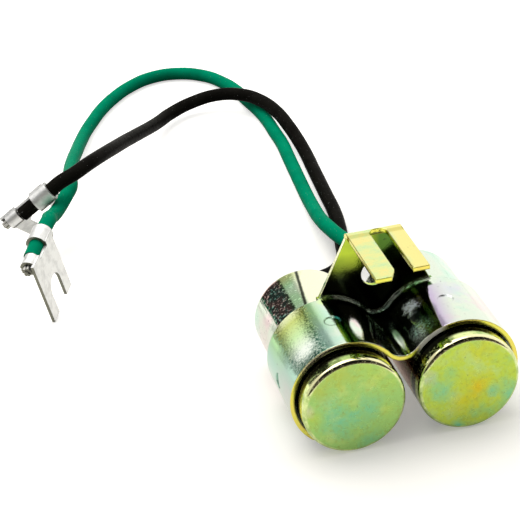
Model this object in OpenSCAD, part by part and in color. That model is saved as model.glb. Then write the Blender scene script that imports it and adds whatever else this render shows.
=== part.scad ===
// Twin ignition capacitor: two sealed cans in one welded saddle bracket.
// Each can has an insulated lead that ends in a flag fork terminal.
// Millimetres. +Z is up, the cans' closed faces look along -Y, and z = 0 is the surface they lie on.

/* [Cans] */
// Outside diameter of each can
can_d = 18; // [14:0.5:22]
// Length of each can over its rolled end
can_len = 33.5; // [28:0.5:45]
// Space between the two cans
can_gap = 2.2; // [1.6:0.1:3]
// Thickness of the cans' sheet
can_wall = 0.5; // [0.3:0.05:0.7]
// Radius of the drawn edge round each closed face
face_r = 0.9; // [0.8:0.1:1.5]
// Radius of the edge rolled over the seal
roll_r = 1.4; // [0.8:0.1:1.8]
// Width of the lip that holds the seal
lip_w = 2; // [1.9:0.1:2.6]

/* [Saddles] */
// Thickness of the bracket's sheet
sheet_t = 0.8; // [0.6:0.1:1]
// Gap between saddle and can, bridged by the weld dimples
saddle_gap = 0.35; // [0.2:0.05:0.5]
// Width of the saddles along the cans, upright included
saddle_w = 16.4; // [12:0.2:20]
// How far the saddles' outer rear edges stop short of the upright's back
rear_trim = 1.2; // [0.6:0.1:1.6]
// Distance from the closed faces back to the saddles
saddle_setback = 4; // [2:0.2:7]
// Angle that the outer ends reach below the can axes
saddle_wrap = 50; // [20:1:54]
// Radius at the bottom of the valley between the saddles
valley_r = 3; // [2.4:0.1:4]
// Diameter of the weld dimples
dimple_d = 2.8; // [2:0.1:4]
// Depth of the weld dimples
dimple_depth = 0.2; // [0.1:0.05:0.3]

/* [Upright and slotted flange] */
// Height of the flange's top above the can axes
flange_h = 22; // [20:0.5:28]
// Width of the flange
flange_w = 9.8; // [8:0.2:13]
// Length of the flange's left prong from the back of the upright
flange_len = 17.9; // [14:0.1:19]
// How much shorter the right prong is
prong_step = 1.5; // [0.5:0.1:2.5]
// Width of the slot
slot_w = 3.1; // [2.5:0.1:4.5]
// Distance of the slot's middle to the right of the flange's
slot_x = 0.5; // [0.1:0.1:1]
// Distance from the back of the upright to the slot's round end
slot_back = 1.1; // [1.1:0.1:4]
// Size of the cut corner at the slot's mouth
mouth_cut = 1.1; // [0.4:0.1:1.4]
// Diameter of the hole through the upright
hole_d = 4.8; // [3:0.1:5.4]
// Height of the hole's centre above the can axes
hole_h = 13.2; // [12.5:0.1:16]
// Inside radius of the flange's bend
bend_r = 0.5; // [0.4:0.1:1]
// Inside radius of the bend at the foot of the upright
foot_r = 0.8; // [0.5:0.1:1.2]

/* [Inside the cans] */
// Height of the ground spring
spring_h = 1.6; // [1:0.1:2.5]
// Thickness of the ground spring's sheet
spring_t = 0.3; // [0.2:0.05:0.4]
// Thickness of the paper liner
liner_t = 0.4; // [0.3:0.05:0.7]
// Diameter of the hole that the winding mandrel leaves
mandrel_d = 2.6; // [2:0.1:3.5]
// Diameter of the brass contact disc
disc_d = 11; // [9:0.5:12]
// Thickness of the contact disc
disc_t = 0.4; // [0.3:0.05:0.6]
// Thickness of the fibre washer, and height of the solder joint
washer_t = 1.6; // [1.2:0.1:2.4]
// Diameter of the solder joint at its foot
solder_d = 4.4; // [3.6:0.1:5]
// Thickness of the rubber seal inside the can
seal_t = 4; // [3:0.5:7]
// Clearance of pieces that fit into each other
fit = 0.05; // [0.02:0.01:0.1]

/* [Leads and fork terminals] */
// Outside diameter of the leads
lead_d = 3; // [2.4:0.1:3]
// Length of a fork's root, along the lead
fork_w = 12; // [11:0.2:13]
// Length of the insulation crimp that stands out beyond the blade
grip_over = 0.8; // [0:0.1:1.2]
// Length of a fork from the lead's axis to its tips
fork_len = 12.8; // [10.8:0.1:14]
// Width of the slot between the prongs
fork_slot_w = 5.2; // [4:0.1:6]
// Depth of that slot
fork_slot_len = 7; // [6:0.5:8.5]
// Thickness of the fork's sheet
fork_t = 0.6; // [0.4:0.1:0.8]
// Length of the crimp round the insulation
grip_len = 4.1; // [3:0.1:4.4]
// Length of the crimp round the bare strands
crimp_len = 2.8; // [2:0.1:3]
// Length of insulation between the two crimps
bare_len = 3.7; // [3:0.1:4.2]
// Diameter of one visible strand
strand_d = 0.66; // [0.5:0.02:0.7]
// Length of the strands beyond their crimp
fray_len = 1.4; // [0.8:0.1:2]

/* [Hidden] */
$fn = 64;
eps = 0.01;
// How far a cutting body stands out of what it cuts.
over = 1;

can_r = can_d / 2;
can_x = (can_d + can_gap) / 2;
bore_r = can_r - can_wall;
can_rear = can_len / 2;

// Saddle section, seen along the cans with the can axes at height 0.
saddle_ri = can_r + saddle_gap;
saddle_ro = saddle_ri + sheet_t;
saddle_mid = saddle_ri + sheet_t / 2;
// The valley's curve cuts into the saddles' by this much where they meet.
valley_blend = 0.02;
valley_z = sqrt(pow(saddle_ro + valley_r - valley_blend, 2) - pow(can_x, 2));
saddle_y = saddle_setback - can_len / 2;
upright_back = saddle_y + saddle_w;
upright_front = upright_back - sheet_t;
dimple_y = (saddle_y + upright_front) / 2;
dimple_angles = [90, 178];
// Depths of the layers that make up the bend at the upright's foot.
foot_steps = [for (share = [0.7, 0.5, 0.34, 0.2, 0.1]) share * foot_r];
// Length of the cut corner at the slot's mouth.
mouth_len = mouth_cut * 2;

// Stack inside a can, measured from the closed face along the can.
floor_z = can_wall;
seal_rear_z = can_len - can_wall;
seal_z = seal_rear_z - seal_t;
washer_z = seal_z - washer_t;
disc_z = washer_z - disc_t;
winding_z = floor_z + spring_h;
liner_r = bore_r - fit;
winding_r = liner_r - liner_t - fit;
seal_front_y = seal_z - can_len / 2;
lip_r = can_r - lip_w;
seal_edge = 0.2;
spring_in = disc_d / 4;
spring_reach = 1;
spring_out = disc_d / 2 + spring_reach;
spring_flat = 1;
nipple_d = lead_d / 2;
nipple_h = washer_t / 2;
solder_top_d = lead_d * 0.85;
washer_gap = 0.6;
washer_bore = solder_d + washer_gap;

// Fork terminal, along the lead: insulation crimp, bare insulation, strand crimp.
lead_r = lead_d / 2;
grip_r = lead_r + fit;
lead_stop = grip_len + bare_len;
strand_gap = 0.4;
strand_pitch = strand_d * 0.92;
crimp_u = lead_stop + strand_gap;
crimp_r = strand_pitch + strand_d / 2 + fit;
crimp_lift = 0.1;
crimp_z = crimp_r - grip_r + crimp_lift;
blade_w = fork_w - grip_over;
root_back = grip_r * 0.6;
// Straight run of a lead before its terminal.
lead_straight = 2.5;

// Place of each terminal's lead end, its turns about X, Y and Z, and the side that its prongs point to.
fork_green_at = [-51.4, 54.5, 14.6];
fork_green_turn = [97.5, 11, -117];
fork_green_side = -1;
fork_black_at = [-47.1, 72.7, 14.3];
fork_black_turn = [-128.8, 34.6, 177.7];
fork_black_side = 1;

// Routes of the leads: out of the can, along the surface in a loop, up to the terminals.
green_route = [
    [10, 23, 8.8], [10.5, 30, 8], [10, 36.5, 6.8], [8.5, 42.5, 5.6], [7, 48, 4.8], [6, 54, 4.4],
    [6, 61, 3.2], [6.5, 67.5, 2.2], [7, 74, 1.6], [7.5, 81, 1.5], [8, 88, 1.5], [8.5, 95, 1.5],
    [9, 102, 1.5], [9, 109, 1.5], [9, 115.5, 1.5], [8.5, 122, 1.5], [7.5, 128.5, 1.5], [6.5, 135, 1.5],
    [4.5, 141.5, 1.5], [1, 147.5, 1.5], [-5, 151.5, 1.5], [-11.5, 151.5, 1.5], [-17.5, 148, 1.5],
    [-22.5, 142.8, 1.5], [-26.7, 136.8, 1.5], [-29.7, 131.2, 1.5], [-32.1, 126, 1.7], [-34.4, 119.2, 2.5],
    [-36.6, 111.2, 3.9], [-38.8, 102.2, 5.8], [-40.6, 93, 7.8], [-41.4, 86, 9.4], [-42.3, 80.2, 10.35],
    [-43.9, 76.2, 10.55], [-45.9, 72.2, 10.3], [-47.6, 68.4, 10.8], [-48.8, 64.8, 12.2], [-49.2, 61.8, 13.6],
    [-49.4, 59.4, 14.6]
];
black_route = [
    [-10, 22.5, 8.6], [-8.5, 28, 7], [-5.5, 33, 5], [-1, 37, 3], [3.5, 41, 1.8], [6.5, 46, 1.5],
    [8, 52, 1.5], [9.5, 59, 1.5], [10.5, 66, 1.5], [11, 73, 1.5], [11.5, 80, 1.5], [12, 87, 1.5],
    [12.5, 94, 1.6], [12.5, 100.5, 2.2], [12, 107, 3.2], [11, 113.5, 4.2], [9, 119.5, 4.8],
    [5.5, 125, 4.8], [0, 129, 4], [-6, 129.2, 3], [-11.5, 126, 2.7], [-15.5, 120.6, 3.5],
    [-18.7, 114.8, 5.1], [-21.6, 109, 7], [-24.5, 103.2, 8.9], [-27.4, 97.4, 10.8], [-30.2, 91.4, 12.75],
    [-33, 85.6, 14.6], [-36, 80.2, 16.1], [-38.9, 76.2, 16.8], [-41.8, 73.7, 16.6]
];

// The axis of a terminal: the direction of the lead's end after the turns.
function axis_of(turn) = [
    cos(turn[1]) * cos(turn[2]),
    cos(turn[1]) * sin(turn[2]),
    -sin(turn[1])
];

// A lead's whole route: from the solder joint, out of the seal, along its points and into the terminal.
function whole_route(side, points, at, turn) = concat(
    [[side * can_x, seal_front_y, can_r], [side * can_x, can_rear, can_r]],
    points,
    [for (u = [-lead_straight, 0, lead_stop]) at + axis_of(turn) * u]
);

function unit(v) = v / norm(v);
function heading(p, i) = unit(p[min(i + 1, len(p) - 1)] - p[max(i - 1, 0)]);
function ring(p, i, r, sides) =
    let (
        ahead = heading(p, i),
        across = unit(cross(ahead, [0, 0, 1])),
        above = cross(across, ahead)
    )
    [
        for (k = [0:sides - 1])
            let (a = 360 * (k + 0.5) / sides)
            p[i] + r * (cos(a) * across + sin(a) * above)
    ];

// A tube of flat sides along a route, with a ring at each of its points.
module tube(p, r, sides = 8) {
    n = len(p);
    points = [for (i = [0:n - 1]) each ring(p, i, r, sides)];
    walls = [
        for (i = [0:n - 2], k = [0:sides - 1])
            let (a = i * sides + k, b = i * sides + (k + 1) % sides)
            [a, b, b + sides, a + sides]
    ];
    first_end = [for (k = [sides - 1:-1:0]) k];
    last_end = [for (k = [0:sides - 1]) (n - 1) * sides + k];
    polyhedron(points, concat([first_end, last_end], walls), convexity = 8);
}

// A pie slice from angle a0 to a1, wide enough to take in radius r.
module slice(a0, a1, r) {
    steps = 6;
    rim = [
        for (i = [0:steps])
            let (a = a0 + (a1 - a0) * i / steps)
            2 * r * [cos(a), sin(a)]
    ];
    polygon(concat([[0, 0]], rim));
}

// A stretch of bent sheet between two radii and two angles.
module bent_strip(ri, ro, a0, a1) {
    intersection() {
        difference() {
            circle(ro);
            circle(ri);
        }
        slice(a0, a1, ro);
    }
}

// Half section of a turned body of radius r and height h, with edge radii e0 below and e1 above.
module turned_outline(r, h, e0, e1) {
    square([r - e0, h / 2]);
    translate([0, h / 2]) square([r - e1, h / 2]);
    translate([0, e0]) square([r, h - e0 - e1]);
    translate([r - e0, e0]) circle(e0);
    translate([r - e1, h - e1]) circle(e1);
}

// Puts a body that is turned about Z on a can's axis, with its z = 0 at the closed face.
module on_can(side) {
    translate([side * can_x, -can_len / 2, can_r]) rotate([-90, 0, 0]) children();
}

// Stands a section drawn in X and Z upright, from y0 back to y1.
module along_cans(y0, y1) {
    translate([0, y1, can_r]) rotate([90, 0, 0]) linear_extrude(y1 - y0, convexity = 6) children();
}

// All that lies under the sheet: round both cans to radius r, with a valley of radius v between them.
module under_sheet(r, v) {
    reach = can_x + 2 * saddle_ro * cos(saddle_wrap);
    depth = 2 * saddle_ro * sin(saddle_wrap);
    difference() {
        union() {
            for (side = [-1, 1]) translate([side * can_x, 0]) circle(r);
            polygon([[-can_x, 0], [0, valley_z], [can_x, 0], [reach, -depth], [-reach, -depth]]);
        }
        translate([0, valley_z]) circle(v);
    }
}

// The m-shaped section of the two saddles and the valley between them.
module saddle_section() {
    difference() {
        under_sheet(saddle_ro, valley_r);
        under_sheet(saddle_ri, valley_r + sheet_t);
    }
}

// Both saddles, cut back behind the upright's outer edges.
module saddles() {
    foot_x = can_x + foot_r / 2;
    difference() {
        along_cans(saddle_y, upright_back) saddle_section();
        for (side = [-1, 1]) translate([side * (foot_x + can_d), upright_back, can_r])
            cube([2 * can_d, 2 * rear_trim, 4 * can_d], center = true);
    }
}

// The upright's outline: a plate that tapers from the saddles' crowns to the flange.
module upright_outline() {
    top = flange_h - bend_r - sheet_t;
    polygon([
        [-can_x, 0], [-can_x, saddle_ro], [-flange_w / 2, top],
        [flange_w / 2, top], [can_x, saddle_ro], [can_x, 0]
    ]);
}

// The upright's section: its outline above the middle of the saddles' sheet, with its hole.
module upright_section() {
    difference() {
        upright_outline();
        for (side = [-1, 1]) translate([side * can_x, 0]) circle(saddle_mid);
        difference() {
            polygon([[-can_x, 0], [0, valley_z], [can_x, 0]]);
            translate([0, valley_z]) circle(valley_r + sheet_t / 2);
        }
        translate([0, hole_h]) circle(d = hole_d);
    }
}

// The concave bend where the saddles turn up into the upright, as a stack of thin layers.
module foot_bend() {
    for (depth = foot_steps) {
        rise = foot_r - sqrt(pow(foot_r, 2) - pow(foot_r - depth, 2));
        along_cans(upright_front - depth, upright_front + sheet_t / 2) intersection() {
            upright_outline();
            difference() {
                under_sheet(saddle_ro + rise, valley_r - rise);
                under_sheet(saddle_mid, valley_r + sheet_t / 2);
            }
        }
    }
}

// The flange's plan: a tongue with a slot open to the front, between a long prong and a short one.
module flange_plan() {
    front = upright_back - flange_len;
    slot_end = upright_back - slot_back - slot_w / 2;
    difference() {
        translate([-flange_w / 2, front]) square([flange_w, flange_len]);
        translate([slot_x, front - over]) square([flange_w, prong_step + over]);
        translate([slot_x, slot_end]) circle(d = slot_w);
        translate([slot_x - slot_w / 2, front - over]) square([slot_w, slot_end - front + over]);
        translate([slot_x - slot_w / 2, front])
            polygon([[-mouth_cut, -eps], [0, mouth_len], [slot_w / 2, mouth_len], [slot_w / 2, -eps]]);
    }
}

// The flange and its bend, seen from the side: x is depth, y is height above the can axes.
module flange_section() {
    bend_out = bend_r + sheet_t;
    translate([upright_back - bend_out, flange_h - bend_out]) bent_strip(bend_r, bend_out, 0, 90);
    translate([upright_back - flange_len, flange_h - sheet_t]) square([flange_len - bend_out, sheet_t]);
    translate([upright_front, flange_h - bend_out - sheet_t]) square(sheet_t);
}

module flange() {
    intersection() {
        translate([-flange_w / 2, 0, can_r]) rotate([90, 0, 90]) linear_extrude(flange_w) flange_section();
        linear_extrude(can_r + flange_h + over) flange_plan();
    }
}

// One weld dimple on a saddle, as a peg between two radii.
module dimple(side, angle, r0, r1) {
    translate([side * can_x, dimple_y, can_r]) rotate([0, side * (angle - 90), 0])
        translate([0, 0, r0]) cylinder(d = dimple_d, h = r1 - r0);
}

module bracket() {
    color("darkkhaki") difference() {
        union() {
            saddles();
            along_cans(upright_front, upright_back) upright_section();
            foot_bend();
            flange();
            difference() {
                for (side = [-1, 1], angle = dimple_angles) dimple(side, angle, can_r - can_wall, saddle_mid);
                for (side = [-1, 1]) on_can(side) cylinder(r = can_r, h = can_len);
            }
        }
        for (side = [-1, 1], angle = dimple_angles)
            dimple(side, angle, saddle_ro - dimple_depth, saddle_ro + over);
    }
}

// A drawn can, rolled in over its seal.
module can(side) {
    color("khaki") on_can(side) rotate_extrude(convexity = 4) difference() {
        turned_outline(can_r, can_len, face_r, roll_r);
        translate([0, floor_z])
            turned_outline(bore_r, seal_rear_z - floor_z, face_r - can_wall, roll_r - can_wall);
        translate([0, seal_rear_z - can_wall]) square([lip_r, 2 * can_wall + over]);
    }
}

// A dished washer that presses the winding back and grounds it to the can.
module ground_spring(side) {
    rise = spring_h - spring_t;
    foot = spring_in + spring_flat;
    crest = spring_out - spring_flat;
    color("silver") on_can(side) translate([0, 0, floor_z]) rotate_extrude(convexity = 4) polygon([
        [spring_in, 0], [foot, 0], [crest, rise], [spring_out, rise],
        [spring_out, spring_h], [crest, spring_h], [foot, spring_t], [spring_in, spring_t]
    ]);
}

module paper_liner(side) {
    length = washer_z - winding_z;
    color("tan") on_can(side) translate([0, 0, winding_z]) difference() {
        cylinder(r = liner_r, h = length);
        translate([0, 0, -over]) cylinder(r = liner_r - liner_t, h = length + 2 * over);
    }
}

// The roll of foil and paper, one solid with the mandrel's hole.
module winding(side) {
    length = disc_z - winding_z;
    color("lightgray") on_can(side) translate([0, 0, winding_z]) difference() {
        cylinder(r = winding_r, h = length);
        translate([0, 0, -over]) cylinder(d = mandrel_d, h = length + 2 * over);
    }
}

// A disc on the winding's foil, with a nipple for the lead.
module contact_disc(side) {
    color("gold") on_can(side) translate([0, 0, disc_z]) {
        cylinder(d = disc_d, h = disc_t);
        cylinder(d = nipple_d, h = disc_t + nipple_h);
    }
}

// Solder round the disc's nipple, up to the end of the lead.
module solder_joint(side) {
    color("gainsboro") on_can(side) translate([0, 0, washer_z]) difference() {
        cylinder(d1 = solder_d, d2 = solder_top_d, h = washer_t);
        translate([0, 0, -over]) cylinder(d = nipple_d, h = over + nipple_h);
    }
}

module fibre_washer(side) {
    color("sienna") on_can(side) translate([0, 0, washer_z]) difference() {
        cylinder(r = bore_r - fit, h = washer_t);
        translate([0, 0, -over]) cylinder(d = washer_bore, h = washer_t + 2 * over);
    }
}

// A rubber bung under the rolled edge, with a collar that fills the lip's opening.
module rubber_seal(side) {
    color("dimgray") on_can(side) translate([0, 0, seal_z]) difference() {
        rotate_extrude(convexity = 4) {
            turned_outline(bore_r - fit, seal_t, seal_edge, roll_r - can_wall + fit);
            translate([0, seal_t / 2]) square([lip_r - fit, seal_t / 2 + can_wall * 0.7]);
        }
        translate([0, 0, -over]) cylinder(r = lead_r + fit, h = seal_t + can_wall + 2 * over);
    }
}

module lead_black() {
    color([0.06, 0.06, 0.06]) tube(whole_route(-1, black_route, fork_black_at, fork_black_turn), lead_r);
}

module lead_green() {
    color([0, 0.5, 0.35]) tube(whole_route(1, green_route, fork_green_at, fork_green_turn), lead_r);
}

// The bare end of a lead: one strand with six round it.
module strands(at, turn) {
    held = strand_gap + crimp_len;
    color("peru") translate(at) rotate(turn) translate([lead_stop, 0, crimp_z]) rotate([0, 90, 0]) {
        cylinder(d = strand_d, h = held + fray_len, $fn = 16);
        for (k = [0:5]) rotate([0, 0, 60 * k]) translate([strand_pitch, 0, 0])
            cylinder(d = strand_d, h = held + fray_len * (0.7 + 0.1 * (k % 3)), $fn = 16);
    }
}

// A crimp rolled out of the fork's sheet: a sleeve with the groove between its two ears on top.
module crimp(r, length) {
    rotate([90, 0, 90]) linear_extrude(length, convexity = 4) difference() {
        circle(r + fork_t);
        circle(r);
        polygon([[0, r + fork_t * 0.2], [-fork_t * 0.4, r + fork_t * 1.2], [fork_t * 0.4, r + fork_t * 1.2]]);
    }
}

// The fork's flat sheet, with the lead's axis along its root and the prongs to one side of it.
module fork_plan(side) {
    slot_mid = fork_len - fork_slot_len + fork_slot_w / 2;
    tip = side * fork_len;
    root = -side * root_back;
    difference() {
        translate([grip_over, min(tip, root)]) square([blade_w, fork_len + root_back]);
        translate([grip_over + blade_w / 2, side * slot_mid]) {
            circle(d = fork_slot_w);
            translate([0, side * fork_slot_len / 2]) square([fork_slot_w, fork_slot_len], center = true);
        }
        translate([(grip_len + crimp_u) / 2, root])
            square([crimp_u - grip_len, 2 * root_back], center = true);
    }
}

// A flag fork: a flat blade with the two crimps along its root, lead end at the origin along +X.
module fork(at, turn, side) {
    color("whitesmoke") translate(at) rotate(turn) {
        translate([0, 0, -grip_r - fork_t]) linear_extrude(fork_t) fork_plan(side);
        crimp(grip_r, grip_len);
        translate([crimp_u, 0, crimp_z]) crimp(crimp_r, crimp_len);
    }
}

bracket();
can(-1);  // can_left
can(1);  // can_right
ground_spring(-1);  // ground_spring_left
ground_spring(1);  // ground_spring_right
paper_liner(-1);  // paper_liner_left
paper_liner(1);  // paper_liner_right
winding(-1);  // winding_left
winding(1);  // winding_right
contact_disc(-1);  // contact_disc_left
contact_disc(1);  // contact_disc_right
solder_joint(-1);  // solder_joint_left
solder_joint(1);  // solder_joint_right
fibre_washer(-1);  // fibre_washer_left
fibre_washer(1);  // fibre_washer_right
rubber_seal(-1);  // rubber_seal_left
rubber_seal(1);  // rubber_seal_right
lead_black();
lead_green();
strands(fork_black_at, fork_black_turn);  // strands_black
strands(fork_green_at, fork_green_turn);  // strands_green
fork(fork_black_at, fork_black_turn, fork_black_side);  // fork_black
fork(fork_green_at, fork_green_turn, fork_green_side);  // fork_green
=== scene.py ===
"""Looks of the twin ignition capacitor: plated cans and bracket, insulated leads and tinned fork terminals."""
import functools
import math

import bpy
from mathutils import Matrix, Vector


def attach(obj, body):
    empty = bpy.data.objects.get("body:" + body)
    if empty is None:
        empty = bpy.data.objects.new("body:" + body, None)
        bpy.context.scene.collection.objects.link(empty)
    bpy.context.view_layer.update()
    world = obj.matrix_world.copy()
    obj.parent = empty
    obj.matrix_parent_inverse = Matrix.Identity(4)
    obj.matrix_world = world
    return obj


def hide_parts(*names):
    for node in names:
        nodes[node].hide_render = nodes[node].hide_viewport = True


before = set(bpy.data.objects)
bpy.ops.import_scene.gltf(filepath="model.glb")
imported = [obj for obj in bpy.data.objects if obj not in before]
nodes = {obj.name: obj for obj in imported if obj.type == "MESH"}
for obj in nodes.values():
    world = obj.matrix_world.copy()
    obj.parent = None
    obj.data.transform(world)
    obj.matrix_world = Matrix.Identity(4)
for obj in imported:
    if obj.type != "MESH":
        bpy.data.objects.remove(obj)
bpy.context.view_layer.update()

MM = 0.001

# Camera of the photograph: place, the way back from the object, and the way to its right.
CAMERA_AT = Vector((-77.03, -256.26, 175.73)) * MM
CAMERA_BACK = Vector((-0.1879, -0.8545, 0.4843)).normalized()
CAMERA_RIGHT = Vector((0.9656, -0.2510, -0.0681)).normalized()
CAMERA_LENS = 124.0
CAMERA_SENSOR = 36.0
CAMERA_CLIP_START = 0.01

# Places of the CAD model, in millimetres: the cans stand at plus and minus CAN_X.
CAN_X = 10.1
CAN_AXIS_Z = 9.0
CAN_REAR = 16.75
FACE_Y = -16.75
SEAL_FRONT_Y = 12.25

# Leads: diameter and routes of the CAD model, in millimetres.
LEAD_D = 3.0
GREEN_ROUTE = [
    (10, 23, 8.8), (10.5, 30, 8), (10, 36.5, 6.8), (8.5, 42.5, 5.6), (7, 48, 4.8), (6, 54, 4.4),
    (6, 61, 3.2), (6.5, 67.5, 2.2), (7, 74, 1.6), (7.5, 81, 1.5), (8, 88, 1.5), (8.5, 95, 1.5),
    (9, 102, 1.5), (9, 109, 1.5), (9, 115.5, 1.5), (8.5, 122, 1.5), (7.5, 128.5, 1.5), (6.5, 135, 1.5),
    (4.5, 141.5, 1.5), (1, 147.5, 1.5), (-5, 151.5, 1.5), (-11.5, 151.5, 1.5), (-17.5, 148, 1.5),
    (-22.5, 142.8, 1.5), (-26.7, 136.8, 1.5), (-29.7, 131.2, 1.5), (-32.1, 126, 1.7), (-34.4, 119.2, 2.5),
    (-36.6, 111.2, 3.9), (-38.8, 102.2, 5.8), (-40.6, 93, 7.8), (-41.4, 86, 9.4), (-42.3, 80.2, 10.35),
    (-43.9, 76.2, 10.55), (-45.9, 72.2, 10.3), (-47.6, 68.4, 10.8), (-48.8, 64.8, 12.2),
    (-49.2, 61.8, 13.6), (-49.4, 59.4, 14.6),
]
BLACK_ROUTE = [
    (-10, 22.5, 8.6), (-8.5, 28, 7), (-5.5, 33, 5), (-1, 37, 3), (3.5, 41, 1.8), (6.5, 46, 1.5),
    (8, 52, 1.5), (9.5, 59, 1.5), (10.5, 66, 1.5), (11, 73, 1.5), (11.5, 80, 1.5), (12, 87, 1.5),
    (12.5, 94, 1.6), (12.5, 100.5, 2.2), (12, 107, 3.2), (11, 113.5, 4.2), (9, 119.5, 4.8),
    (5.5, 125, 4.8), (0, 129, 4), (-6, 129.2, 3), (-11.5, 126, 2.7), (-15.5, 120.6, 3.5),
    (-18.7, 114.8, 5.1), (-21.6, 109, 7), (-24.5, 103.2, 8.9), (-27.4, 97.4, 10.8), (-30.2, 91.4, 12.75),
    (-33, 85.6, 14.6), (-36, 80.2, 16.1), (-38.9, 76.2, 16.8), (-41.8, 73.7, 16.6),
]
# Each terminal: a place on its lead's axis, and that axis' slope down and azimuth, in degrees.
GREEN_FORK = ((-51.4, 54.5, 14.6), 11, -117)
BLACK_FORK = ((-47.1, 72.7, 14.3), 34.6, 177.7)
# Each lead is straight from this far before its terminal's place, and ends this far past it.
LEAD_STRAIGHT = 2.5
LEAD_STOP = 7.8
# Steps of a lead's mesh: of each quarter of its section, and from one point of its route to the next.
LEAD_ROUND_STEPS = 6
LEAD_ROUTE_STEPS = 6


def rgba(tone):
    """A tint, or one grey level, as a colour with its alpha."""
    return (*tone, 1) if isinstance(tone, tuple) else (tone, tone, tone, 1)


def darker(tint, part):
    """A tint with only a part of its brightness."""
    return tuple(part * c for c in tint)


class Tree:
    """A node tree, with short calls for the nodes that the finishes and the studio are made of."""

    # A mix node's inputs and output for colours.
    MIX_A, MIX_B, MIX_OUT = 6, 7, 2

    def __init__(self, tree):
        self.tree = tree

    def put(self, socket, value):
        """Links an input to another node's output, or sets its value."""
        if isinstance(value, bpy.types.NodeSocket):
            self.tree.links.new(value, socket)
        else:
            socket.default_value = value

    def node(self, kind, inputs, output=0, **settings):
        """A new node with its settings and inputs."""
        made = self.tree.nodes.new(kind)
        for key, value in settings.items():
            setattr(made, key, value)
        for key, value in inputs.items():
            self.put(made.inputs[key], value)
        return made.outputs[output]

    def math(self, operation, *values):
        """One operation on its values."""
        return self.node("ShaderNodeMath", dict(enumerate(values)), operation=operation)

    def both(self, *masks):
        """Where all the masks are."""
        return functools.reduce(functools.partial(self.math, "MULTIPLY"), masks)

    def either(self, *masks):
        """Where any of the masks is."""
        return functools.reduce(functools.partial(self.math, "MAXIMUM"), masks)

    def axes(self, vector):
        """The three parts of a vector."""
        return self.node("ShaderNodeSeparateXYZ", {0: vector}).node.outputs[:]

    def span(self, value, low, high, start=0.0, end=1.0):
        """The start up to the value low, the end from the value high, and even between them."""
        return self.node("ShaderNodeMapRange", {"Value": value, "From Min": low, "From Max": high,
                                                "To Min": start, "To Max": end})

    def zone(self, *limits):
        """Where all the limits hold: each is a value, and the millimetres where its mask is 0 and where it is 1."""
        return self.both(*(self.span(value, low * MM, high * MM) for value, low, high in limits))

    def ramp(self, value, *stops):
        """The tint or grey level that a value has on a scale of stops."""
        colour = self.node("ShaderNodeValToRGB", {"Fac": value})
        elements = colour.node.color_ramp.elements
        while len(elements) < len(stops):
            elements.new(0.5)
        for element, (at, tone) in zip(elements, stops):
            element.position = at
            element.color = rgba(tone)
        return colour

    def mix(self, mask, a, b, blend="MIX"):
        """The tint, grey level or node output a, and b where the mask is."""
        a, b = (tone if isinstance(tone, bpy.types.NodeSocket) else rgba(tone) for tone in (a, b))
        return self.node("ShaderNodeMix", {0: mask, self.MIX_A: a, self.MIX_B: b}, self.MIX_OUT, data_type="RGBA",
                         blend_type=blend)


class Finish(Tree):
    """A procedural material, painted by the place on the object and the way that the surface looks."""

    # The part of a patch's radius that has its full strength, the levels that most of a noise lies between, and the
    # number of rays that round edges and find corners.
    PATCH_CORE = 0.35
    NOISE_LOW, NOISE_HIGH = 0.35, 0.68
    SAMPLES = 6

    def __init__(self, name):
        self.material = bpy.data.materials.new(name)
        self.material.use_nodes = True
        super().__init__(self.material.node_tree)
        self.bsdf = self.tree.nodes["Principled BSDF"]
        texture = self.tree.nodes.new("ShaderNodeTexCoord")
        self.place = texture.outputs["Object"]
        self.normal = texture.outputs["Normal"]

    def set(self, **values):
        """Sets the surface's inputs, such as base_color for Base Color."""
        for name, value in values.items():
            self.put(self.bsdf.inputs[name.replace("_", " ").title().replace("Ior", "IOR")], value)

    def noise(self, scale, detail=3.0, rough=0.5, stretch=None):
        """Clouds from 0 to 1, with their scale in cells to the metre."""
        place = self.place if stretch is None else self.node(
            "ShaderNodeMapping", {"Vector": self.place, "Scale": stretch})
        return self.node("ShaderNodeTexNoise",
                         {"Vector": place, "Scale": scale, "Detail": detail, "Roughness": rough})

    def patch(self, at, radius, strength=1.0, wobble=None):
        """A soft round mask about a place in millimetres, its rim broken by a noise if one is given."""
        apart = self.node("ShaderNodeVectorMath", {0: self.place, 1: [v * MM for v in at]}, "Value",
                          operation="DISTANCE")
        if wobble is not None:
            # The noise's middle level, a half, leaves the rim where it is.
            apart = self.math("MULTIPLY_ADD", wobble, 2 * radius * MM, apart)
            radius *= 2
        return self.span(apart, radius * MM, self.PATCH_CORE * radius * MM, 0.0, strength)

    def spot(self, colour, at, radius, tint, strength=1.0, wobble=None):
        """A colour with a patch of a tint on it."""
        return self.mix(self.patch(at, radius, strength, wobble), colour, tint)

    def uneven(self, scale, low, high):
        """A grey level that wanders between two levels."""
        return self.ramp(self.noise(scale), (self.NOISE_LOW, low), (self.NOISE_HIGH, high))

    def bump(self, height, depth, strength, normal=None):
        """A bumped normal, its depth in millimetres, on the plain normal or the one given."""
        inputs = {"Height": height, "Distance": depth * MM, "Strength": strength}
        if normal is not None:
            inputs["Normal"] = normal
        return self.node("ShaderNodeBump", inputs)

    def soft_edges(self, radius):
        """The normal with its edges rounded, by a radius in millimetres."""
        return self.node("ShaderNodeBevel", {"Radius": radius * MM}, samples=self.SAMPLES)


# Depth of the fine grain on metal and on the inner pieces, in millimetres.
GRAIN_DEPTH = 0.03

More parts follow.
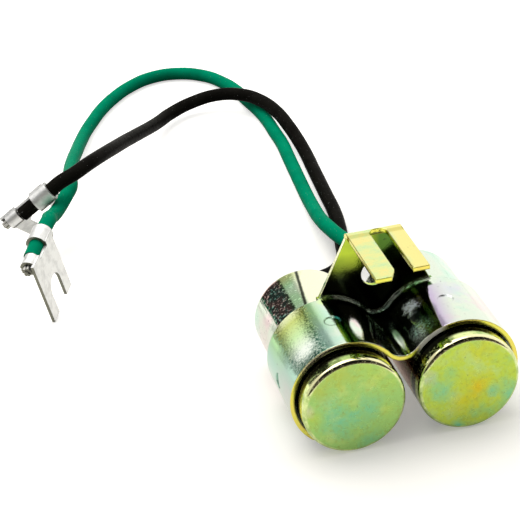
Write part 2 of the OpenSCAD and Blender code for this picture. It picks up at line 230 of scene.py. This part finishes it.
# Tints of the chromate, from yellow to teal, and then pink, pale and dark.
AMBER = (0.70, 0.50, 0.03)
GOLD = (0.84, 0.70, 0.14)
LEMON = (0.80, 0.78, 0.12)
YELLOW = (0.62, 0.60, 0.03)
MUSTARD = (0.50, 0.52, 0.06)
DULL_MUSTARD = (0.48, 0.52, 0.07)
OLIVE = (0.48, 0.54, 0.22)
LIGHT_LIME = (0.50, 0.64, 0.08)
SOFT_LIME = (0.48, 0.66, 0.20)
LIME = (0.36, 0.61, 0.18)
LEAF = (0.40, 0.70, 0.38)
SAGE = (0.44, 0.70, 0.40)
MINT = (0.52, 0.74, 0.60)
TEAL = (0.14, 0.58, 0.40)
LAVENDER = (0.52, 0.58, 0.50)
PINK = (0.74, 0.60, 0.60)
BLUSH = (0.64, 0.51, 0.49)
PALE = (0.66, 0.74, 0.62)
CREAM = (0.82, 0.82, 0.62)
# The next tint is no chromate: it is a painted highlight on the top of each can's rim.
RIM_HIGHLIGHT = (0.82, 0.78, 0.46)
FACE_MOTTLE = (0.34, 0.40, 0.07)
FACE_PITS = (0.16, 0.17, 0.06)
BRACKET_PITS = (0.06, 0.07, 0.04)

# Colour patches on each can's closed face: place across and up from its middle, radius, tint, strength.
FACE_SPOTS = {
    "left": [(-2.6, -2.6, 4.0, TEAL, 0.8), (2.4, -0.9, 3.2, TEAL, 0.7), (-4.3, 1.5, 2.6, TEAL, 0.5),
             (-1.8, 6.8, 3.6, MUSTARD, 0.8), (3.0, 6.6, 3.4, LIGHT_LIME, 0.7),
             (-5.8, 4.6, 3.0, DULL_MUSTARD, 0.7), (6.0, 3.6, 2.6, LIGHT_LIME, 0.6),
             (-7.6, -0.8, 2.2, LIGHT_LIME, 0.8), (-8.4, 1.0, 1.8, PINK, 0.5), (5.6, -1.6, 2.0, LIGHT_LIME, 0.6),
             (7.4, -3.0, 2.6, LIME, 0.9), (2.6, -7.0, 3.0, TEAL, 0.5)],
    "right": [(1.5, -0.8, 4.2, YELLOW, 1.0), (1.6, -0.9, 2.2, AMBER, 0.8), (-1.2, -3.5, 3.2, YELLOW, 0.9),
              (2.5, 6.3, 4.0, YELLOW, 0.7), (-4.6, -0.6, 2.6, TEAL, 0.8), (3.9, -2.2, 1.6, TEAL, 0.8),
              (7.4, -3.8, 3.0, TEAL, 0.8), (-7.6, 2.4, 2.0, LAVENDER, 0.8), (-2.1, -8.0, 1.8, TEAL, 0.8)],
}

# Small dark pits: cells to the metre, and the noise levels from which a pit begins and is full.
PIT_SCALE = 1500
PIT_LEVELS = (0.31, 0.27)
# A painted reflection of a lead, a thin dark line along the left can, in millimetres: its place across at the can's
# middle, its slant, and its half width.
LEAD_REFLECTION_X = -12.8
LEAD_REFLECTION_SLANT = 0.125
LEAD_REFLECTION_HALF = 0.27


def pitted(s, colour, dark):
    """A colour with small dark pits."""
    start, full = PIT_LEVELS
    return s.mix(s.ramp(s.noise(PIT_SCALE, rough=0.7), (full, 1.0), (start, 0.0)), colour, dark)


# Tints of the cans' bodies: the left can's stained band, a painted reflection of a lead on it, the right can's inner
# side from low to high (a painted reflection of the shaded floor turning into painted shade between the cans), the
# collar in front of the bracket, and a painted dark reflection as a ring on that collar.
STAIN_STOPS = [(0.42, (0.30, 0.62, 0.50)), (0.54, (0.85, 0.58, 0.52))]
LEAD_REFLECTION_TINT = (0.03, 0.04, 0.02)
INNER_SHADE_STOPS = [(0.2, (0.50, 0.24, 0.17)), (0.7, (0.06, 0.02, 0.015))]
COLLAR_STOPS = [(0.40, (0.36, 0.50, 0.16)), (0.62, (0.74, 0.84, 0.38))]
DARK_RING_REFLECTION = (0.01, 0.012, 0.006)
# The closed face: the normal's part along y where it begins and where it is full.
CLOSED_FACE = (-0.90, -0.985)


def can_face(s, side, wobble):
    """A can's closed face: lime, lighter on the right can, with patches, a fine mottle and pits."""
    middle = -CAN_X if side == "left" else CAN_X
    face = s.ramp(s.noise(230, rough=0.6), (0.34, LIME), (0.52, LIGHT_LIME if side == "right" else LIME),
                  (0.66, SOFT_LIME))
    for across, up, radius, tint, strength in FACE_SPOTS[side]:
        face = s.spot(face, (middle + across, FACE_Y, CAN_AXIS_Z + up), radius, tint, strength, wobble)
    mottle = s.ramp(s.noise(1300, rough=0.7), (0.52, 0.0), (0.72, 0.5))
    return pitted(s, s.mix(mottle, face, FACE_MOTTLE), FACE_PITS)


def painted_lead_reflection(s, x, y):
    """The mask of the painted reflection of a lead, its rims softened and broken by a noise."""
    off = s.math("SUBTRACT", s.math("MULTIPLY_ADD", y, -LEAD_REFLECTION_SLANT, x), LEAD_REFLECTION_X * MM)
    apart = s.math("MULTIPLY_ADD", s.noise(1500, rough=0.7), LEAD_REFLECTION_HALF * MM, s.math("ABSOLUTE", off))
    return s.zone((apart, 2 * LEAD_REFLECTION_HALF, LEAD_REFLECTION_HALF))


def left_body(s, body):
    """The left can's top behind the bracket: green patches, a cream side, a stained band and a painted reflection of a
    lead.
    """
    x, y, _ = s.axes(s.place)
    body = s.spot(body, (-14, 14, 17), 5.0, LEAF)
    body = s.spot(body, (-14, 7, 17), 5.0, SAGE)
    body = s.mix(s.zone((x, -12.6, -11.2)), body, CREAM)
    body = s.spot(body, (-13.5, 16, 17.3), 4.0, OLIVE, 0.9)
    stained = s.zone((x, -14.2, -14.8), (x, -17.7, -17.2))
    body = s.mix(stained, body, s.ramp(s.noise(420, 4.0, 0.7), *STAIN_STOPS))
    # A thin dark line painted along the can: a reflection of a lead.
    return s.mix(painted_lead_reflection(s, x, y), body, LEAD_REFLECTION_TINT)


def can_body(s, side, wobble):
    """A can's pale body, with its side's own marks and painted reflections, a green collar, a painted dark reflection
    as a ring on it, and a painted highlight on the top of the rim at the face.
    """
    x, y, z = s.axes(s.place)
    body = s.ramp(s.noise(95, 2.0), (0.36, MINT), (0.47, PALE), (0.56, PALE), (0.66, PINK))
    body = s.spot(body, (-19, 9, 5), 8.0, BLUSH, 0.9)
    if side == "left":
        body = left_body(s, body)
    else:
        # The right can's side towards the left can: a painted reflection of the shaded floor low down, and painted
        # shade between the cans higher up.
        body = s.mix(s.zone((x, 3.2, 1.8)), body, s.ramp(s.zone((z, 6, 12)), *INNER_SHADE_STOPS))
    collar = s.zone((y, -12.0, -13.0))
    body = s.mix(collar, body, s.ramp(wobble, *COLLAR_STOPS))
    # A near-black ring on the collar: a painted dark reflection.
    body = s.mix(s.both(collar, s.zone((y, -14.9, -14.3))), body, DARK_RING_REFLECTION)
    # A straw band on the top of the rim: a painted highlight.
    return s.mix(s.zone((y, -15.6, -15.9), (z, 12, 15.5)), body, RIM_HIGHLIGHT)


def can_finish(side):
    """Yellow chromate on bright zinc: a pale mirror body and a satin, lime to amber closed face."""
    s = Finish(f"{side}_can_chromate")
    wobble = s.noise(420, rough=0.6)
    face = s.span(s.axes(s.normal)[1], *CLOSED_FACE)
    dust = s.ramp(s.noise(1900, 4.0, 0.75), (0.52, 0.0), (0.66, 1.0))
    rough = s.mix(dust, s.uneven(500, 0.03, 0.08), 0.5)
    rough = s.mix(face, rough, s.uneven(900, 0.26, 0.36))
    grain = s.bump(s.noise(2100, rough=0.65), GRAIN_DEPTH, 0.18, s.bump(s.noise(260, 2.0), 0.06, 0.15))
    s.set(base_color=s.mix(face, can_body(s, side, wobble), can_face(s, side, wobble)), metallic=1.0,
          roughness=rough, normal=grain)
    return s.material


# Tints of the left saddle's outer side, by the way along it from front to back: its upper part, its lower part, the
# dark band over both, and the white bloom on that band, a grainy powder whose white front is a painted highlight.
UPPER_STOPS = [(0.2, (0.36, 0.56, 0.46)), (0.7, (0.36, 0.62, 0.30))]
LOWER_STOPS = [(0.0, (0.48, 0.53, 0.49)), (0.6, (0.35, 0.58, 0.46))]
BAND_STOPS = [(0.1, (0.06, 0.20, 0.13)), (0.5, (0.13, 0.23, 0.08)), (0.9, (0.15, 0.19, 0.02))]
BLOOM_HIGHLIGHT_STOPS = [(0.1, (0.90, 0.96, 0.84)), (0.45, (0.62, 0.84, 0.42)), (0.8, (0.60, 0.68, 0.20)),
               (1.0, (0.84, 0.88, 0.54))]
# Where the bloom is thickest across the saddle, in millimetres, and how much that helps it.
BLOOM_X = -16.3
BLOOM_GAIN = 0.38
# Tints of patches on the saddles' tops, and of the inner sides from left to right; of these, the dark teal is a
# painted dark reflection, the mosses and the brown are painted shade by the valley between the saddles, and the blue
# dust is partly a painted highlight.
SEA_GREEN = (0.38, 0.66, 0.44)
LILAC = (0.60, 0.58, 0.74)
ROSE = (0.80, 0.60, 0.68)
DARK_TEAL_REFLECTION = (0.01, 0.10, 0.075)
MOSS_SHADE = (0.16, 0.28, 0.15)
BLUE_DUST_HIGHLIGHT = (0.80, 0.87, 1.0)
GREEN_DUST = (0.16, 0.48, 0.32)
DARK_MOSS_SHADE = (0.05, 0.09, 0.06)
BROWN_SHADE = (0.07, 0.06, 0.01)
MAUVE = (0.50, 0.42, 0.58)
# The stripes on the right saddle, of painted brown shade and of mauve, lean to the side by this much along it.
STRIPE_SLANT = 0.11
# Tints of the upright: its front, its right part, painted shade on its low part, a painted highlight on its left edge,
# and painted shade on the saddles just before it and on the bend up into it, with painted glints at that strip's two
# ends.
UPRIGHT_STOPS = [(0.38, (0.40, 0.54, 0.05)), (0.62, (0.52, 0.66, 0.05))]
UPRIGHT_RIGHT = (0.15, 0.32, 0.05)
UPRIGHT_LOW_SHADE = (0.09, 0.12, 0.02)
UPRIGHT_EDGE_HIGHLIGHT = (0.96, 0.96, 0.62)
FOOT_SHADE = (0.05, 0.09, 0.04)
FOOT_LEFT_GLINT = (0.62, 0.86, 0.26)
FOOT_RIGHT_GLINT = (0.35, 0.75, 0.42)
FILLET_SHADE = (0.015, 0.02, 0.01)
# Parts of the normal where a face begins and is full: the upright's front, its fillet, its left edge, and a cut edge.
FRONT_FACE = (-0.75, -0.9)
FILLET_FACE = (-0.03, -0.12)
LEFT_FACE = (-0.6, -0.85)
CUT_FACE = (0.6, 0.3)
# Tints of the flange, its right prong, and the sheet's cut edges, with painted highlights on the front cut edge at the
# left saddle's top and where it rises to the right saddle.
FLANGE_STOPS = [(0.36, (0.50, 0.70, 0.36)), (0.50, (0.66, 0.72, 0.30)), (0.64, (0.78, 0.70, 0.26))]
FLANGE_RIGHT = (0.80, 0.72, 0.26)
EDGE_STOPS = [(0.40, GOLD), (0.60, LEMON)]
EDGE_LEFT_HIGHLIGHT = (1.0, 0.92, 0.58)
EDGE_RISING_HIGHLIGHT = (1.0, 0.97, 0.84)


def left_outer_side(s, saddle, grit):
    """The left saddle's outer side, and the masks of its dark, ragged band and of the bloom on it, whose white front
    is a painted highlight.
    """
    x, y, z = s.axes(s.place)
    along = s.zone((y, -10, 2.4))
    saddle = s.mix(s.zone((x, -10.4, -12.4)), saddle, s.ramp(along, *UPPER_STOPS))
    saddle = s.mix(s.zone((x, -17.5, -18.8), (z, 13.5, 11)), saddle, s.ramp(along, *LOWER_STOPS))
    ragged = s.math("MULTIPLY_ADD", s.noise(1300, 4.0, 0.75), 2.4 * MM, x)
    band = s.zone((ragged, -11.4, -12.6), (ragged, -17.7, -17.2))
    saddle = s.mix(band, saddle, s.ramp(along, *BAND_STOPS))
    apart = s.math("ABSOLUTE", s.math("SUBTRACT", x, BLOOM_X * MM))
    core = s.zone((apart, 2.5, 0.4), (y, -12.4, -9.5))
    # The bloom is grainy matt powder; its white, brightest at the front, is a painted highlight.
    bloom_and_highlight = s.both(band, s.span(s.math("MULTIPLY_ADD", core, BLOOM_GAIN, grit), 0.47, 0.84))
    return s.mix(bloom_and_highlight, saddle, s.ramp(along, *BLOOM_HIGHLIGHT_STOPS)), band, bloom_and_highlight


def inner_sides(s, saddle, grit):
    """The saddles' sides towards the valley between them, with painted dark reflection and painted shade, and the mask
    of the dust on the right one, partly a painted highlight.
    """
    x, y, _ = s.axes(s.place)
    # A dark band on the left saddle's inner side: a painted dark reflection.
    saddle = s.mix(s.zone((x, -9.8, -9.3), (x, -7.4, -8.0)), saddle, DARK_TEAL_REFLECTION)
    slant = s.math("MULTIPLY_ADD", y, -STRIPE_SLANT, x)
    before_foot = (y, 0.9, 0.3)
    # A dark brown stripe on the right saddle: painted shade; the mauve stripe beyond it is a tint.
    saddle = s.mix(s.zone(before_foot, (slant, 5.2, 6.0), (slant, 8.3, 8.1)), saddle, BROWN_SHADE)
    saddle = s.mix(s.zone(before_foot, (slant, 8.1, 8.3), (slant, 11.5, 8.5)), saddle, MAUVE)
    # Two dark green patches by the valley between the saddles: painted shade that dims its reflections.
    saddle = s.spot(saddle, (5.3, -6.2, 17.9), 3.2, DARK_MOSS_SHADE)
    saddle = s.spot(saddle, (1.5, -5, 14.2), 4.0, MOSS_SHADE)
    # A light blue dust blotch on the right saddle, partly a painted highlight.
    blotch_highlight = s.both(s.span(grit, 0.26, 0.60), s.patch((4.7, -2.8, 17.5), 2.3, 1.0, s.noise(900)))
    saddle = s.mix(blotch_highlight, saddle, BLUE_DUST_HIGHLIGHT)
    haze = s.both(s.span(grit, 0.38, 0.80), s.patch((4.4, -9.8, 17.4), 3.2, 0.8))
    return s.mix(haze, saddle, GREEN_DUST), s.either(blotch_highlight, haze)


def saddle_colour(s, wobble):
    """Both saddles, and the masks of the left one's dark band and of all the powder on them, partly painted
    highlights.
    """
    grit = s.noise(2900, rough=0.7)
    saddle = s.ramp(s.noise(110, rough=0.55), (0.36, MINT), (0.47, PALE), (0.58, PALE), (0.68, PINK))
    saddle = s.spot(saddle, (-12, -6, 18.5), 4.4, SEA_GREEN, 0.9, wobble)
    saddle, band, bloom_and_highlight = left_outer_side(s, saddle, grit)
    saddle = s.spot(saddle, (12, -2, 18.6), 4.5, LILAC, 0.7, wobble)
    saddle = s.spot(saddle, (17.5, -5, 15.5), 5.0, ROSE, 0.7, wobble)
    saddle, dust = inner_sides(s, saddle, grit)
    return saddle, band, s.either(dust, bloom_and_highlight)


def add_upright(s, colour):
    """The upright on top of the saddles' colour, with painted shade, highlight and glints, and the mask of the painted
    shade just before it and on the bend up into it.
    """
    x, y, z = s.axes(s.place)
    normal_x, normal_y, _ = s.axes(s.normal)
    upright = s.ramp(s.noise(210), *UPRIGHT_STOPS)
    upright = s.mix(s.zone((x, -0.6, 1.2)), upright, UPRIGHT_RIGHT)
    front = s.both(s.span(normal_y, *FRONT_FACE), s.zone((y, 1.6, 1.8)))
    colour = s.mix(front, colour, upright)
    colour = s.mix(s.zone((y, 2.9, 3.0)), colour, upright)
    # A dark strip on the saddles' tops just before the upright: painted shade.
    foot_shade = s.zone((y, 0.2, 0.7), (y, 1.75, 1.65), (s.math("ABSOLUTE", x), 9.9, 9.5))
    colour = s.mix(foot_shade, colour, FOOT_SHADE)
    # Light spots at both ends of that strip: painted glints.
    colour = s.spot(colour, (-9.2, 1.8, 19.1), 1.9, FOOT_LEFT_GLINT)
    colour = s.spot(colour, (6.8, 1.9, 18.8), 2.6, FOOT_RIGHT_GLINT)
    # The upright's low part darker: painted shade.
    colour = s.mix(s.both(front, s.zone((z, 27, 23))), colour, UPRIGHT_LOW_SHADE)
    # A near-black bend up into the upright: painted shade.
    fillet_shade = s.both(s.span(normal_y, *FILLET_FACE), s.zone((y, 2.1, 2.2), (z, 24, 22), (x, 5.5, 4.5)))
    colour = s.mix(fillet_shade, colour, FILLET_SHADE)
    # A pale line along the upright's left edge: a painted highlight.
    left_edge_highlight = s.both(s.span(normal_x, *LEFT_FACE), s.zone((z, 19.6, 20.2), (y, 2.6, 2.8)))
    return s.mix(left_edge_highlight, colour, UPRIGHT_EDGE_HIGHLIGHT), s.either(foot_shade, fillet_shade)


def add_flange(s, colour, wobble):
    """The flange and the cut edges with painted highlights on the front one, and the masks of those edges and of the
    painted highlight on the one that rises to the right saddle.
    """
    x, y, z = s.axes(s.place)
    flange = s.ramp(s.noise(240, rough=0.6), *FLANGE_STOPS)
    flange = s.mix(s.zone((x, 1.5, 3.0)), flange, FLANGE_RIGHT)
    colour = s.mix(s.zone((z, 30.2, 30.4)), colour, flange)
    level = s.math("ABSOLUTE", s.axes(s.normal)[2])
    flange_edge = s.both(s.zone((z, 29.6, 29.8)), s.span(level, *CUT_FACE))
    front_edge = s.zone((y, -12.66, -12.72), (z, 25, 24))
    edge = s.either(flange_edge, front_edge)
    colour = s.mix(edge, colour, s.ramp(wobble, *EDGE_STOPS))
    # Cream lines on the front cut edge, at the left saddle's top and where it rises to the right saddle: painted
    # highlights.
    colour = s.mix(s.both(front_edge, s.zone((x, -9, -12), (z, 13.5, 16.5))), colour, EDGE_LEFT_HIGHLIGHT)
    rising_highlight = s.both(front_edge, s.zone((x, 2.0, 3.0), (x, 8.0, 6.5)))
    return s.mix(rising_highlight, colour, EDGE_RISING_HIGHLIGHT), edge, rising_highlight


def bracket_finish():
    """Yellow chromate on a bent sheet: pale saddles, lime upright, straw flange and golden cut edges, with painted
    shade, highlights and glints.
    """
    s = Finish("bracket_chromate")
    wobble = s.noise(380, 4.0, 0.65)
    colour, band, powder_and_highlight = saddle_colour(s, wobble)
    colour, foot_shade = add_upright(s, colour)
    colour, edge, rising_highlight = add_flange(s, colour, wobble)
    rough = s.mix(band, s.uneven(500, 0.06, 0.12), 0.24)
    rough = s.spot(rough, (0.8, 2.2, 28.6), 3.2, 0.5)
    rough = s.mix(powder_and_highlight, rough, 0.7)
    rough = s.mix(edge, rough, 0.2)
    grain = s.bump(s.noise(2000, rough=0.65), GRAIN_DEPTH, s.span(band, 0.0, 1.0, 0.35, 1.0), s.soft_edges(0.38))
    # Metal is off on the powder and on the rising edge's painted highlight, and the specular tint is black on the
    # painted shade before the upright.
    s.set(base_color=pitted(s, colour, BRACKET_PITS), metallic=s.span(s.either(powder_and_highlight, rising_highlight), 1.0, 0.0),
          roughness=rough, normal=grain, specular_ior_level=0.1, specular_tint=s.mix(foot_shade, 1.0, 0.0))
    return s.material


# Tints of the painted shade on the tin's edges and on its lower front faces, and of dust on the leads.
TIN_EDGE_SHADE = (0.14, 0.14, 0.12)
TIN_FRONT_SHADE = (0.20, 0.20, 0.16)
LEAD_DUST = (0.35, 0.36, 0.34)


def tin(name, tint, up):
    """Tin with stains and scratches, and painted shade in its corners, on its edges and on fronts whose normal rises
    less than up.
    """
    s = Finish(name)
    stain = s.ramp(s.noise(520, 4.0, 0.6), (0.46, tint), (0.74, darker(tint, 0.74)))
    # The tin darker in its corners: painted shade, from the occlusion.
    openness = s.node("ShaderNodeAmbientOcclusion", {"Distance": 1.2 * MM}, "AO", samples=s.SAMPLES)
    stain = s.mix(1.0, stain, s.ramp(openness, (0.30, 0.15), (0.70, 1.0)), "MULTIPLY")
    round_normal = s.soft_edges(0.15)
    flat_normal = s.node("ShaderNodeNewGeometry", {}, "True Normal")
    flatness = s.node("ShaderNodeVectorMath", {0: round_normal, 1: flat_normal}, "Value", operation="DOT_PRODUCT")
    # Dark edges: painted shade.
    stain = s.mix(s.span(flatness, 0.97, 0.88), stain, TIN_EDGE_SHADE)
    _, normal_y, normal_z = s.axes(s.normal)
    # Fronts whose normal rises less than up, darker: painted shade.
    stain = s.mix(s.both(s.span(normal_y, -0.15, -0.40), s.span(normal_z, up, up - 0.15)), stain, TIN_FRONT_SHADE)
    scratch = s.noise(2400, rough=0.6, stretch=(1, 0.15, 1))
    s.set(base_color=stain, metallic=1.0, roughness=s.ramp(scratch, (0.3, 0.42), (0.7, 0.62)),
          normal=s.bump(scratch, GRAIN_DEPTH, 0.5, round_normal))
    return s.material


def pvc(name, tint, other, ior):
    """Soft insulation of two close tints, a little uneven, with dust specks."""
    s = Finish(name)
    tone = s.mix(s.ramp(s.noise(260), (0.35, 0.0), (0.7, 1.0)), tint, other)
    tone = s.mix(s.ramp(s.noise(3000, 1.0), (0.72, 0.0), (0.78, 0.4)), tone, LEAD_DUST)
    s.set(base_color=tone, roughness=s.ramp(s.noise(900), (0.3, 0.24), (0.7, 0.36)), ior=ior,
          normal=s.bump(s.noise(420, 2.0), 0.1, 0.5, s.bump(s.noise(4200, 2.0), 0.01, 0.6)))
    return s.material


def plain(name, tint, metallic, rough, scale):
    """An inner piece's finish: its tint with a fine grain."""
    s = Finish(name)
    s.set(base_color=s.mix(s.noise(scale), tint, darker(tint, 0.7)), metallic=metallic, roughness=rough,
          normal=s.bump(s.noise(2 * scale), GRAIN_DEPTH, 0.4))
    return s.material


def make_camera():
    """The photograph's camera."""
    camera = bpy.data.objects.new("camera", bpy.data.cameras.new("camera"))
    camera.data.sensor_width = CAMERA_SENSOR
    camera.data.lens = CAMERA_LENS
    camera.data.clip_start = CAMERA_CLIP_START
    turn = Matrix((CAMERA_RIGHT, CAMERA_BACK.cross(CAMERA_RIGHT), CAMERA_BACK)).transposed().to_4x4()
    camera.matrix_world = Matrix.Translation(CAMERA_AT) @ turn
    bpy.context.scene.collection.objects.link(camera)
    bpy.context.scene.camera = camera


def lead_points(side, route, fork):
    """The whole route of a lead in metres: from its solder joint, out of the seal and into its terminal."""
    at, slope, azimuth = fork
    slope = math.radians(slope)
    azimuth = math.radians(azimuth)
    axis = Vector((math.cos(slope) * math.cos(azimuth), math.cos(slope) * math.sin(azimuth), -math.sin(slope)))
    start = [(side * CAN_X, SEAL_FRONT_Y, CAN_AXIS_Z), (side * CAN_X, CAN_REAR, CAN_AXIS_Z)]
    end = [Vector(at) + axis * u for u in (-LEAD_STRAIGHT, 0, LEAD_STOP)]
    return [Vector(p) * MM for p in start + route + end]


def lead(name, points, material):
    """A round lead as one open curve through its points."""
    data = bpy.data.curves.new(name, "CURVE")
    data.dimensions = "3D"
    data.bevel_depth = LEAD_D / 2 * MM
    data.bevel_resolution = LEAD_ROUND_STEPS
    data.use_fill_caps = True
    spline = data.splines.new("BEZIER")
    spline.bezier_points.add(len(points) - 1)
    spline.resolution_u = LEAD_ROUTE_STEPS
    for knot, point in zip(spline.bezier_points, points):
        knot.co = point
        knot.handle_left_type = "AUTO"
        knot.handle_right_type = "AUTO"
    data.materials.append(material)
    piece = bpy.data.objects.new(name, data)
    bpy.context.scene.collection.objects.link(piece)
    return piece


make_camera()

# Each lead: its can's side, route, terminal and insulation.
LEADS = {
    "green": (1, GREEN_ROUTE, GREEN_FORK, pvc("green_pvc", (0.0, 0.27, 0.135), (0.0, 0.22, 0.11), 1.02)),
    "black": (-1, BLACK_ROUTE, BLACK_FORK, pvc("black_pvc", (0.006, 0.0055, 0.0045), (0.011, 0.010, 0.008), 1.035)),
}
for tone, (side, route, fork, material) in LEADS.items():
    points = lead_points(side, route, fork)
    piece = lead(f"{tone}_lead", points, material)
    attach(piece, "root")
    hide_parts(f"lead_{tone}")

# Finishes of the CAD nodes, by the start of their names.
FINISHES = {
    "bracket": bracket_finish(),
    "can_left": can_finish("left"),
    "can_right": can_finish("right"),
    "rubber_seal": plain("black_rubber", (0.03, 0.03, 0.03), 0.0, 0.6, 900),
    "fork_green": tin("bright_tin", (0.88, 0.88, 0.865), 0.0),
    "fork_black": tin("dull_tin", (0.80, 0.80, 0.79), -0.5),
    "strands": tin("tinned_strands", (0.66, 0.65, 0.61), 0.0),
    "ground_spring": plain("spring_steel", (0.55, 0.55, 0.56), 1.0, 0.3, 900),
    "paper_liner": plain("kraft_paper", (0.50, 0.36, 0.20), 0.0, 0.8, 1200),
    "winding": plain("foil_roll", (0.72, 0.72, 0.70), 1.0, 0.35, 1500),
    "contact_disc": plain("brass", (0.68, 0.50, 0.18), 1.0, 0.3, 900),
    "solder_joint": plain("solder", (0.62, 0.62, 0.62), 1.0, 0.3, 1200),
    "fibre_washer": plain("vulcanised_fibre", (0.25, 0.08, 0.04), 0.0, 0.55, 900),
}
for name, node in nodes.items():
    finish = next((FINISHES[key] for key in FINISHES if name.startswith(key)), None)
    if finish is not None:
        node.data.materials.clear()
        node.data.materials.append(finish)

# Brightness of the studio in reflections, round the horizon: azimuth from straight back, in degrees.
BACK_LEVELS = [(-110, 0.008), (-95, 0.7), (-36.5, 0.7), (-36, 0.03), (-18, 0.03), (-17.5, 0.5), (-2, 0.5),
               (3, 1.0), (95, 1.0), (110, 0.008)]
# Brightness overhead in reflections, and of all that lights dull surfaces: from 0 at the front to 1 at the back.
OVERHEAD_LEVELS = [(0.42, 0.008), (0.52, 1.0)]
AMBIENT_LEVELS = [(0.30, 0.28), (0.66, 1.0)]
# The horizon's upper edge, and the upper and rear edges of the dim low front: parts of a direction along z, z and y.
HORIZON_TOP = (0.64, 0.68)
FRONT_TOP = (0.42, 0.36)
FRONT_REAR = (-0.3, -0.5)
FRONT_TINT = (0.08, 0.07, 0.06)
STUDIO_TINT = (1.0, 0.985, 0.95)
STUDIO_STRENGTH = 1.27
AMBIENT_STRENGTH = 1.2


def make_world():
    """White to the camera; in reflections a white studio with a dark screen at the left and a dark camera side."""
    world = bpy.data.worlds.new("studio")
    world.use_nodes = True
    bpy.context.scene.world = world
    t = Tree(world.node_tree)
    t.tree.nodes.clear()
    x, y, z = t.axes(t.node("ShaderNodeTexCoord", {}, "Generated"))
    turn = t.span(t.math("ARCTAN2", x, y), -math.pi, math.pi)
    depth = t.span(y, -1.0, 1.0)
    around = t.ramp(turn, *((at / 360 + 0.5, level) for at, level in BACK_LEVELS))
    around = t.mix(t.both(t.span(z, *FRONT_TOP), t.span(y, *FRONT_REAR)), around, FRONT_TINT)
    studio = t.mix(t.span(z, *HORIZON_TOP), around, t.ramp(depth, *OVERHEAD_LEVELS))
    studio = t.mix(1.0, studio, STUDIO_TINT, "MULTIPLY")
    seen = t.node("ShaderNodeBackground", {"Color": rgba(1.0), "Strength": 1.0})
    glossy = t.node("ShaderNodeBackground", {"Color": studio, "Strength": STUDIO_STRENGTH})
    ambient = t.node("ShaderNodeBackground", {"Color": t.ramp(depth, *AMBIENT_LEVELS), "Strength": AMBIENT_STRENGTH})
    path = t.tree.nodes.new("ShaderNodeLightPath").outputs
    unseen = t.node("ShaderNodeMixShader", {0: path["Is Glossy Ray"], 1: ambient, 2: glossy})
    whole = t.node("ShaderNodeMixShader", {0: path["Is Camera Ray"], 1: unseen, 2: seen})
    t.put(t.tree.nodes.new("ShaderNodeOutputWorld").inputs["Surface"], whole)


# The floor: half its size in metres, how far it lies under the object, its tints, and its dark one to soft light.
FLOOR_HALF = 2.0
FLOOR_DROP = 0.03 * MM
FLOOR_STOPS = [(0.3, (0.86, 0.83, 0.77)), (0.7, (0.88, 0.85, 0.79))]
FLOOR_DARK = (0.12, 0.12, 0.11)
# Its glow near the object and far from it, the millimetres between which it grows, and its part in reflections.
GLOW_LEVELS = (0.25, 0.6)
GLOW_FROM, GLOW_TO = 45, 90
GLOW_REFLECTED = 0.55


def make_floor():
    """A pale floor that keeps the object's shadow and is white to the camera where it isn't shaded."""
    corners = [(across * FLOOR_HALF, back * FLOOR_HALF, 0) for across, back in ((-1, -1), (1, -1), (1, 1), (-1, 1))]
    mesh = bpy.data.meshes.new("floor")
    mesh.from_pydata(corners, [], [(0, 1, 2, 3)])
    floor = bpy.data.objects.new("floor", mesh)
    floor.location.z = -FLOOR_DROP
    bpy.context.scene.collection.objects.link(floor)
    s = Finish("pale_floor")
    path = s.tree.nodes.new("ShaderNodeLightPath").outputs
    apart = s.node("ShaderNodeVectorMath", {0: s.place}, "Value", operation="LENGTH")
    glow = s.span(apart, GLOW_FROM * MM, GLOW_TO * MM, *GLOW_LEVELS)
    shown = s.math("MULTIPLY_ADD", path["Is Glossy Ray"], GLOW_REFLECTED, path["Is Camera Ray"])
    tone = s.mix(path["Is Diffuse Ray"], s.ramp(s.noise(30), *FLOOR_STOPS), FLOOR_DARK)
    s.set(base_color=tone, roughness=0.9, emission_color=rgba(1.0), emission_strength=s.both(shown, glow))
    mesh.materials.append(s.material)


# The lamp: its place and target in metres, its size in metres and its power in watts.
LAMP_AT = Vector((-0.2, 0.3, 0.9))
LAMP_TARGET = Vector((0, 0.05, 0))
LAMP_SIZE = 0.9
LAMP_POWER = 4.5


def make_lamp():
    """One large softbox overhead."""
    light = bpy.data.lights.new("top_softbox", "AREA")
    light.shape = "RECTANGLE"
    light.size = light.size_y = LAMP_SIZE
    light.energy = LAMP_POWER
    lamp = bpy.data.objects.new("top_softbox", light)
    lamp.location = LAMP_AT
    lamp.rotation_euler = (LAMP_TARGET - LAMP_AT).to_track_quat("-Z", "Y").to_euler()
    bpy.context.scene.collection.objects.link(lamp)


make_world()
make_floor()
make_lamp()

bpy.context.scene.view_settings.view_transform = "Standard"
